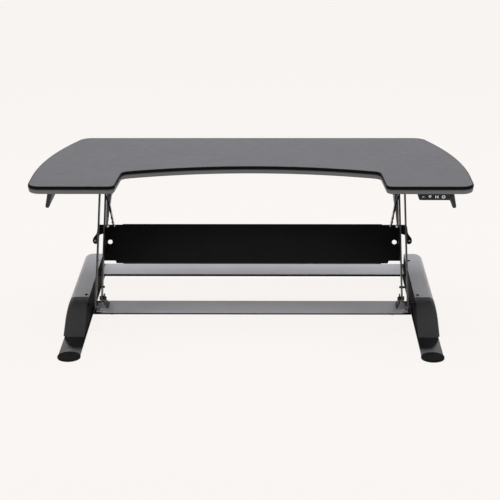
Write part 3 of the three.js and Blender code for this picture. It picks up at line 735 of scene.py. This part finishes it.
def arms():
    for word in SIDES:
        for kind, pivot, body in (("front", FRONT_PIVOT, "outer_arms"), ("rear", REAR_PIVOT, "inner_arms")):
            x = span(kind + "_arm_right", 0)
            place = arm_frame(pivot) @ ALONG_X
            # ALONG_X draws (local Y, local Z), so the link's length runs along its first axis.
            outline = [Vector((p.y, -p.x)) for p in link(ARM_LENGTH, ARM_HALF)]
            holes = [circle(BOLT_HOLE, 0, 0, 28),
                     circle(BOLT_HOLE if kind == "front" else SPIGOT_HOLE, ARM_LENGTH, 0, 28)]
            if kind == "rear":
                holes.append(circle(3.8, PIN_S, 0, 20))
            form = Form()
            form.plate(outline, x, place, holes, bevel=0.7)
            for s in (0, ARM_LENGTH):
                bore = BOLT_HOLE + 0.05 if kind == "front" or s == 0 else SPIGOT_HOLE
                form.turned([(bore, x[0] - 0.3), (8.2, x[0] - 0.3), (8.2, x[0] + 0.5), (bore, x[0] + 0.5),
                             (bore, x[0] - 0.3)], arm_frame(pivot) @ at(0, s, 0) @ ALONG_X, 28)
            sided(form, word, "outer_link" if kind == "front" else "inner_link", body, "black_paint",
                  [ARM_PAINT], kind + "_arm")

        form = Form()
        x0, x1 = span("arm_pin_right", 0)
        pin = at(x0, PIN_S, 0) @ RIGHT
        length = x1 - x0
        groove = length - 3.4
        profile = [(0, 0), (2.6, 0), (3.4, 0.8), (3.4, groove), (2.7, groove), (2.7, groove + 1),
                   (3.4, groove + 1), (3.4, length - 0.8), (2.6, length), (0, length)]
        form.turned(profile, arm_frame(REAR_PIVOT) @ pin, 24)
        sided(form, word, "cross_pin", "inner_arms", "black_paint", [PAINT], "arm_pin")


# ---------- cross panel ----------
PANEL_LOW = 112
PANEL_HIGH = 234.5
PANEL_BACK = -17
STOP_S = 181
STOP_X = 468.5
HOLE_X = 424
HOLE_S = 178.5


def cross_panel():
    place = arm_frame(REAR_PIVOT)
    end = 442
    half = [(403, PANEL_LOW, 2), (406, PANEL_LOW + 8, 2), (end, PANEL_LOW + 8, 4), (end, STOP_S + 24, 4),
            (456, STOP_S + 20, 4), (460.5, STOP_S + 4, 3), (460.5, STOP_S - 9, 6),
            (STOP_X + 7.5, STOP_S - 9, 8), (STOP_X + 7.5, STOP_S + 8, 8), (465, STOP_S + 24, 20),
            (463, PANEL_HIGH - 2, 8), (390, PANEL_HIGH - 2, 2), (386, PANEL_HIGH, 2)]
    outline = rounded(half + [(-x, s, r) for x, s, r in reversed(half)])
    holes = [circle(7, x, HOLE_S, 28) for x in (-HOLE_X, HOLE_X)]
    form = Form()
    form.plate(outline, (PANEL_BACK, PANEL_BACK + SHEET), place, holes, bevel=0.7)
    for x in (435.7, -438.7):
        wing = rounded([(PANEL_LOW + 12, PANEL_BACK + 1, 0), (PANEL_HIGH - 16, PANEL_BACK + 1, 0),
                        (PANEL_HIGH - 16, 9, 9), (PANEL_LOW + 12, 9, 9)])
        form.plate(wing, (x, x + SHEET), place @ ALONG_X)
    for s in (PANEL_LOW + 0.2, PANEL_HIGH - 3.2):
        lip = tab((s, s + SHEET), (PANEL_BACK - 8, PANEL_BACK + 1), 1.2)
        form.plate(lip, (-384, 384), place @ ALONG_X, bevel=0.4)
    piece(form, "tie_panel", "inner_arms", "black_paint", [PAINT], ["cross_panel"])


def bump_stops():
    for word in SIDES:
        face = PANEL_BACK + SHEET
        place = arm_frame(REAR_PIVOT) @ at(STOP_X, STOP_S, face)
        form = Form()
        buffer = [(0, 0.1), (7.2, 0.1), (7.8, 0.8), (7.8, 4.6), (7, 5.4), (4.6, 5.4), (4.2, 4.2), (0, 4.2)]
        form.turned(buffer, place)
        form.paint = 1
        form.turned([(0, 3.6), (3.4, 3.6), (3.4, 4.8), (2.6, 5.6), (0, 5.9)], place, 24)
        sided(form, word, "stop_buffer", "inner_arms", "rubber", [RUBBER, ZINC], "bump_stop")


def stays():
    """A tapered strap, a bent rod and a slim one beside it, from a lug high on the arm to the panel."""
    place = arm_frame(REAR_PIVOT)
    lug_s = 333
    low, high = lug_s - 7, lug_s + 7
    front = 16.4
    foot_s = PANEL_HIGH - 9
    for word in SIDES:
        form = Form()
        lug = rectangle((low, high), (-13.4, front), 3)
        form.plate(lug, (421, 438.7), place @ ALONG_X, bevel=1.0)
        bridge = rounded([(430, low, 0), (449, low, 5), (449, high, 5), (430, high, 0)])
        form.plate(bridge, (12.4, front), place, [circle(1.8, 444, lug_s, 20)], bevel=0.8)
        form.paint = 1
        strap = rounded([(438.6, lug_s, 0), (425.6, lug_s, 0), (432.1, foot_s, 3), (438.6, foot_s, 3)])
        form.plate(strap, (-13.6, -11.6), place, bevel=0.4)
        form.screw(5.4, 3, place @ at(433.4, foot_s + 2, -12))
        sided(form, word, "stay_lug", "inner_arms", "zinc_steel", [PAINT, STRAP], "stay_bracket")
        form = Form()
        bend = Vector((428, 285, 15.1))
        upper = bent_line(Vector((443, low - 0.8, 15.1)), bend, Vector((423.5, 262.5, 5.2)), 9)
        form.tube([place @ p for p in upper], 2.3, 16)
        foot = Vector((415.5, foot_s, -11))
        rod_form(form, place @ Vector((423.7, 263.5, 5.65)), place @ foot, 2.6)
        form.paint = 1
        beside = Vector((-3.6, 0, -0.6))
        slim = (Vector((424.6, low + 3, 14.6)), bend, foot)
        form.tube([place @ (p + beside) for p in slim], 1.5, 12)
        sided(form, word, "stay_bar", "inner_arms", "black_paint", [PAINT, STRAP], "stay_rod")


def bent_line(start, bend, end, reach):
    """Points of a line bent at a point, with the bend rounded over that reach."""
    before = bend + (start - bend).normalized() * reach
    after = bend + (end - bend).normalized() * reach
    shares = [k / 8 for k in range(9)]
    curve = [(1 - t) ** 2 * before + 2 * t * (1 - t) * bend + t * t * after for t in shares]
    return [start, *curve, end]


def rod_form(form, start, end, radius):
    """A rod with a thinner threaded end, a lock nut and an eye at its foot."""
    place, length = toward(start, end)
    thin = radius * 0.72
    profile = [(0, 0), (thin, 0), (thin, 12), (radius, 14), (radius, length - 24), (thin, length - 22)]
    height = length - 22
    while height < length - 8:
        profile += [(thin + 0.2, height + 0.3), (thin - 0.15, height + 0.8)]
        height += 1
    profile += [(thin, length - 3), (0, length - 3)]
    form.turned(profile, place, 20)
    form.hexagon(radius * 2.6, 3.2, place @ at(0, 0, length - 14))
    eye = place @ at(0, 0, length - 3) @ RIGHT @ at(0, 0, -1.8)
    form.turned([(1.2, 0), (3.6, 0), (4, 0.4), (4, 3.2), (3.6, 3.6), (1.2, 3.6), (1.2, 0)], eye, 28)


# ---------- drive ----------
MODULE = 1.18
PINION_TEETH = 12
SECTOR_TEETH = 4 * PINION_TEETH


def toothed(teeth, first, last, phase):
    """Rim points of teeth first to last, counted round from phase."""
    pitch = MODULE * teeth / 2
    points = []
    for k in range(first, last + 1):
        middle = phase + 2 * math.pi * k / teeth
        for share, rise in ((-0.27, -1.2), (-0.14, 0.9), (0.14, 0.9), (0.27, -1.2)):
            points.append(polar(pitch + rise * MODULE, middle + 2 * math.pi * share / teeth))
    return points


def drive():
    down = -math.pi / 2
    place = at(0, TOP_PIVOT.y, TOP_PIVOT.z) @ ALONG_X
    form = Form()
    half_tooth = math.pi / SECTOR_TEETH
    rim = toothed(SECTOR_TEETH, -1, 8, down + half_tooth)
    # The hub's round starts and ends clear of the toothed arc.
    hub_start = math.atan2(rim[-1].y, rim[-1].x) + 0.5
    hub_turn = 2 * math.pi - 1 - 1.26
    hub = [polar(13.2, hub_start + k / 24 * hub_turn) for k in range(25)]
    form.plate(rim + hub, (-5, 5), place, [circle(10.3, sides=40)], bevel=0.35)
    form.hexagon(5, 4, at(0, TOP_PIVOT.y, TOP_PIVOT.z + 12.6))
    piece(form, "toothed_sector", "inner_arms", "zinc_steel", [ZINC], ["drive_sector"])

    form = Form()
    place = at(0, PINION_AXIS.y, PINION_AXIS.z) @ ALONG_X
    form.plate(toothed(PINION_TEETH, 0, PINION_TEETH - 1, -down), (-5.4, 5.4), place, bevel=0.3)
    x0, x1 = span("drive_pinion", 0)
    form.turned([(0, x0), (2.6, x0), (3, x0 + 0.4), (3, x1 - 0.4), (2.6, x1), (0, x1)], place, 24)
    piece(form, "pinion_gear", "pinion", "zinc_steel", [ZINC], ["drive_pinion"])

    form = Form()
    end = span("torque_tube", 0)[1]
    shoulder = span("rear_arm_right", 0)[0] - GAP
    profile = [(0, -end), (5.2, -end), (5.9, 0.8 - end), (5.9, 2 - end), (5.2, 2 - end), (5.2, 3 - end),
               (5.9, 3 - end), (5.9, -shoulder), (9.4, -shoulder), (10, 0.8 - shoulder)]
    profile += [(radius, -x) for radius, x in reversed(profile)]
    form.turned(profile, at(0, TOP_PIVOT.y, TOP_PIVOT.z) @ ALONG_X, 48)
    piece(form, "lift_tube", "inner_arms", "zinc_steel", [ZINC], ["torque_tube"])


# ---------- base ----------
COVER_LOW_OUT = 540.0
COVER_TOP_OUT = 532.0
COVER_EDGE = 14.0
COVER_CORNER = 34.0
NOSE_LIP = 11.0  # how far the nose moulding laps the cover's front


def rail_covers():
    (inner, _), (y0, y1), (z0, z1) = spans("rail_cover_right")
    y0 += NOSE_LIP
    # In plan the skin runs from the front, along the outer side, round the back to the inner edge.
    plan = rounded([(COVER_LOW_OUT, y0, 0), (COVER_LOW_OUT, y1, COVER_CORNER), (inner, y1, 0)], closed=False)
    lean = COVER_LOW_OUT - COVER_TOP_OUT
    wall = rounded([(0, z0, 0), (lean, z1, COVER_EDGE), (40, z1, 0)], closed=False)[:-1]
    share = 0.75  # the back leans in that much of what the side does
    for word in SIDES:
        form = Form()
        rings = []
        for deep, z in [(p.x, p.y) for p in wall]:
            moved = inset(plan, deep, closed=False)
            ring = [Vector((m.x, p.y + (m.y - p.y) * share, z)) for p, m in zip(plan, moved)]
            rings.append(form.ring(ring))
        for first, second in zip(rings, rings[1:]):
            form.strip(first, second, closed=False)
        corner = form.bm.verts.new((inner, y0, z1))
        form.face(rings[-1] + [corner])
        sided(form, word, "side_cover", "base", "grey_cover", [COVER_GREY], "rail_cover",
              shell=SHEET, crease=60)


def nose_caps():
    (inner, _), (_, y_back), (z0, z1) = spans("nose_cap_right")
    brow = y_back - 5.7
    y_back += NOSE_LIP
    radius = 100
    slope = math.radians(45)
    arc = [(brow - radius * math.sin(a), z1 - radius + radius * math.cos(a)) for a in
           (slope * k / 18 for k in range(1, 19))]
    foot = arc[-1][0] - (arc[-1][1] - z0)
    path = [Vector((y_back, z1)), *[Vector(p) for p in arc], Vector((foot, z0))]
    # Across the cap: (share of the width, how far the profile has come in).
    across = [(0, 2.6), (0.012, 1.1), (0.03, 0.3), (0.055, 0)]
    edge = 15.0
    width = COVER_TOP_OUT - inner
    for k in range(9):
        angle = math.pi / 2 * k / 8
        across.append((1 - (edge - edge * math.sin(angle)) / width, edge * (1 - math.cos(angle))))
    for word in SIDES:
        form = Form()
        rings = []
        for share, deep in across:
            ring = []
            for p in inset(path, deep, closed=False) + [Vector((y_back, z0))]:
                z = max(p.y, z0)
                y = min(p.x, y_back)
                down = (z1 - z) / (z1 - z0)
                flare = (COVER_LOW_OUT - COVER_TOP_OUT) * down
                outer = COVER_TOP_OUT + flare + 2 * math.sin(math.pi * down)
                ring.append((inner + (outer - inner) * share, y, z))
            rings.append(form.ring(ring))
        for first, second in zip(rings, rings[1:]):
            form.strip(first, second)
        form.face(rings[-1])
        form.paint = 1
        form.face(rings[0])
        sided(form, word, "nose_moulding", "base", "nose_plastic", [NOSE, MATT], "nose_cap", crease=50)


def rail_frames():
    (plate_x0, _), (y0, y1), (z0, _) = spans("rail_frame_right")
    cap_back = span("nose_cap_right", 1)[1]
    outline = rounded([(plate_x0, y0, 26), (536, y0, 26), (536, cap_back - 2, 0), (532, cap_back - 2, 0),
                       (532, y1 - 38, 6), (500, y1, 6), (plate_x0, y1, 0)])
    web = rounded([(y1, z0 + 1, 0), (y1, 76, 8), (cap_back - 8, 75.5, 8), (cap_back - 61, 52, 10),
                   (cap_back - 93, 20, 10), (cap_back - 101, z0 + 1, 0)])
    holes = [circle(BOLT_HOLE, FRONT_PIVOT.y, FRONT_PIVOT.z, 28)]
    for word in SIDES:
        form = Form()
        form.plate(outline, (z0, z0 + 3), bevel=0.8)
        sided(form, word, "foot_plate", "base", "black_paint", [PLATE], "rail_frame")
        form = Form()
        form.plate(web, (WEB_X, WEB_X + 4), ALONG_X, holes, bevel=0.6)
        sided(form, word, "rail_web", "base", "black_paint", [MATT], "rail_frame")


def feet():
    (x0, x1), (y0, y1), (_, height) = spans("foot_disc_right")
    radius, rim = (x1 - x0) / 2, 4.5
    disc = [(0, 0), (radius - 1.6, 0), (radius - 0.5, 0.5), (radius, 1.5), (radius, height - 1.6),
            (radius - 0.5, height - 0.5), (radius - 1.6, height), (radius - rim, height),
            (radius - rim - 0.6, height - 0.5), (0, height - 0.5)]
    for word in SIDES:
        form = Form()
        form.turned(disc, at((x0 + x1) / 2, (y0 + y1) / 2, 0), 72)
        sided(form, word, "front_foot", "base", "rubber", [RUBBER], "foot_disc")
        for node, name in (("foot_pad_rear", "rear_foot"), ("bar_pad", "bar_foot")):
            low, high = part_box(node + "_right")
            middle = (low + high) / (2 * MM)
            pad_r = (high.x - low.x) / (2 * MM)
            tall = high.z / MM
            form = Form()
            profile = [(0, 0), (pad_r - 0.5, 0), (pad_r, 0.4), (pad_r, tall - 0.4), (pad_r - 0.5, tall),
                       (0, tall)]
            form.turned(profile, at(middle.x, middle.y, 0), 40)
            sided(form, word, name, "base", "rubber", [RUBBER], node)


def base_bars():
    """Pressed pans: a flat top that turns down into a lip at the front and the back. The lips and the ends of
    the top are painted black as painted shade.
    """
    # The front bar takes the lightened copy of the bar grey, painted light against the worktop's shade.
    for node, name, grey, unshaded_half in (("base_front_bar", "front_bar", FRONT_GREY_LIGHTENED, 451),
                                        ("base_rear_bar", "rear_bar", BAR_GREY, 470)):
        (x0, x1), (y0, y1), (z0, z1) = spans(node)
        form = Form()
        flat = rectangle((y0 + 0.5, y1 - 0.5), (z1 - SHEET, z1), 1.2)
        form.plate(flat, (-unshaded_half, unshaded_half), ALONG_X, bevel=0.3)
        # Black from here on, for the ends of the top and for the lips: painted shade where the bars run in
        # under the arms and the rail's web, and on the lips' upright faces.
        form.paint = 1
        for end in (x0, x1):
            form.plate(flat, (math.copysign(unshaded_half, end), end), ALONG_X, bevel=0.3)
        for y in (y0, y1 - SHEET):
            form.plate(rectangle((y, y + SHEET), (z0, z1 - 0.4), 0.9), (x0, x1), ALONG_X, bevel=0.3)
        piece(form, name, "base", "grey_bar", [grey, PAINT], [node])


def pivot_mounts():
    bar_top = span("base_front_bar", 2)[1] + GAP
    (x0, x1), (_, y_back), _ = spans("pivot_mount_right")
    py, pz = REAR_PIVOT.y, REAR_PIVOT.z
    outline = rounded([(py - 13, pz + 12, 10), (py - 13, pz - 10, 12), (y_back - 41, bar_top, 4),
                       (y_back, bar_top, 0), (y_back, bar_top + 5.7, 4), (py + 24, 60, 20),
                       (py + 12, pz + 12, 8)])
    foot_y = (y_back - 74, y_back)
    for word in SIDES:
        form = Form()
        form.plate(outline, (x0, x0 + SHEET), ALONG_X, [circle(BOLT_HOLE, py, pz, 28)])
        foot = rounded([(x0, y_back, 0), (x0, y_back - 39, 3), (452, foot_y[0], 3), (x1, foot_y[0], 3),
                        (x1, y_back, 3)])
        form.paint = 1
        form.plate(foot, (bar_top, bar_top + SHEET), bevel=0.6)
        form.paint = 0
        weld_x, weld_z = x0 + SHEET + 0.6, bar_top + SHEET + 0.5
        bead = [(weld_x, y_back - 36 + 33 * k / 40, weld_z + 0.25 * math.sin(2.2 * k)) for k in range(41)]
        form.tube(bead, 1.3, 10)
        form.paint = 1
        for y in (foot_y[0] + 14, foot_y[1] - 14):
            place = at(x1 - 13, y, bar_top + SHEET)
            form.turned([(0, 0), (6.4, 0), (6.6, 0.3), (6.6, 1), (6.3, 1.3), (0, 1.3)], place, 32)
            form.hexagon(9, 3.4, place @ at(0, 0, 1.3))
        sided(form, word, "pivot_gusset", "base", "black_paint", [PAINT, BAR_GREY], "pivot_mount")


def cover_screws():
    for word in SIDES:
        for where in ("front", "rear"):
            node = "cover_screw_%s_right" % where
            low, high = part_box(node)
            middle = (low + high) / (2 * MM)
            form = Form()
            form.screw((high.x - low.x) / (2 * MM) + 0.9, 2.6, at(middle.x, middle.y, low.z / MM - 0.3))
            name = "cover_fastener_" + where
            sided(form, word, name, "base", "black_paint", [PAINT], "cover_screw_" + where)


# ---------- camera, light and floor ----------
def camera():
    data = bpy.data.cameras.new("camera")
    data.lens = 112.3
    data.sensor_width = 36.0
    cam = bpy.data.objects.new("camera", data)
    cam.location = (0.057, -4.356, 1.630)
    aim = Euler((math.radians(90 - 18.088), 0, 0.0143)).to_quaternion()
    cam.rotation_mode = "QUATERNION"
    cam.rotation_quaternion = aim @ Quaternion((0, 0, 1), -0.0035)
    bpy.context.collection.objects.link(cam)
    bpy.context.scene.camera = cam


def studio():
    """A pale glowing floor, an uneven surround and a softbox overhead."""
    world = bpy.data.worlds.new("studio")
    bpy.context.scene.world = world
    world.use_nodes = True
    tree = world.node_tree
    backdrop = tree.nodes["Background"]
    backdrop.inputs[0].default_value = (1, 0.985, 0.975, 1)
    # Bright all round low down and in front, dim high up at the back.
    sight = add(tree, "TexCoord")
    parts = add(tree, "SeparateXYZ")
    tree.links.new(sight.outputs["Generated"], parts.inputs["Vector"])
    high = ramp(tree, parts.outputs["Z"], (0.38, 0.405), (0, 1))
    behind = ramp(tree, parts.outputs["Y"], (0.0, 0.2), (0, 1))
    both = calculate(tree, "MULTIPLY", high, behind)
    tree.links.new(ramp(tree, both, (0, 1), (1.0, 0.03)), backdrop.inputs[1])

    data = bpy.data.lights.new("softbox", "AREA")
    data.shape = "RECTANGLE"
    data.size = 3.2
    data.size_y = 1.2
    data.energy = 48
    box = bpy.data.objects.new("softbox", data)
    box.location = (0, 0.4, 2.6)
    box.visible_camera = False
    bpy.context.collection.objects.link(box)

    mesh = bpy.data.meshes.new("floor")
    reach = 40
    mesh.from_pydata([(-reach, -reach, 0), (reach, -reach, 0), (reach, reach, 0), (-reach, reach, 0)], [],
                     [(0, 1, 2, 3)])
    floor = bpy.data.objects.new("floor", mesh)
    floor.location.z = -0.0004
    bpy.context.collection.objects.link(floor)
    pale = bpy.data.materials.new("pale_floor")
    pale.use_nodes = True
    shader = pale.node_tree.nodes["Principled BSDF"]
    shader.inputs["Base Color"].default_value = (0.05, 0.049, 0.048, 1)
    shader.inputs["Roughness"].default_value = 1.0
    shader.inputs["Specular IOR Level"].default_value = 0.0
    shader.inputs["Emission Color"].default_value = (0.947, 0.913, 0.888, 1)
    shader.inputs["Emission Strength"].default_value = 0.955
    mesh.materials.append(pale)
    bpy.context.scene.view_settings.view_transform = "Standard"


for make in (camera, studio, worktop, grips, keypad, brackets, gear_case, motor, control_box,
             power_inlet, cables, bolts, arms, cross_panel, bump_stops, stays, drive, rail_covers,
             nose_caps, rail_frames, feet, base_bars, pivot_mounts, cover_screws):
    make()
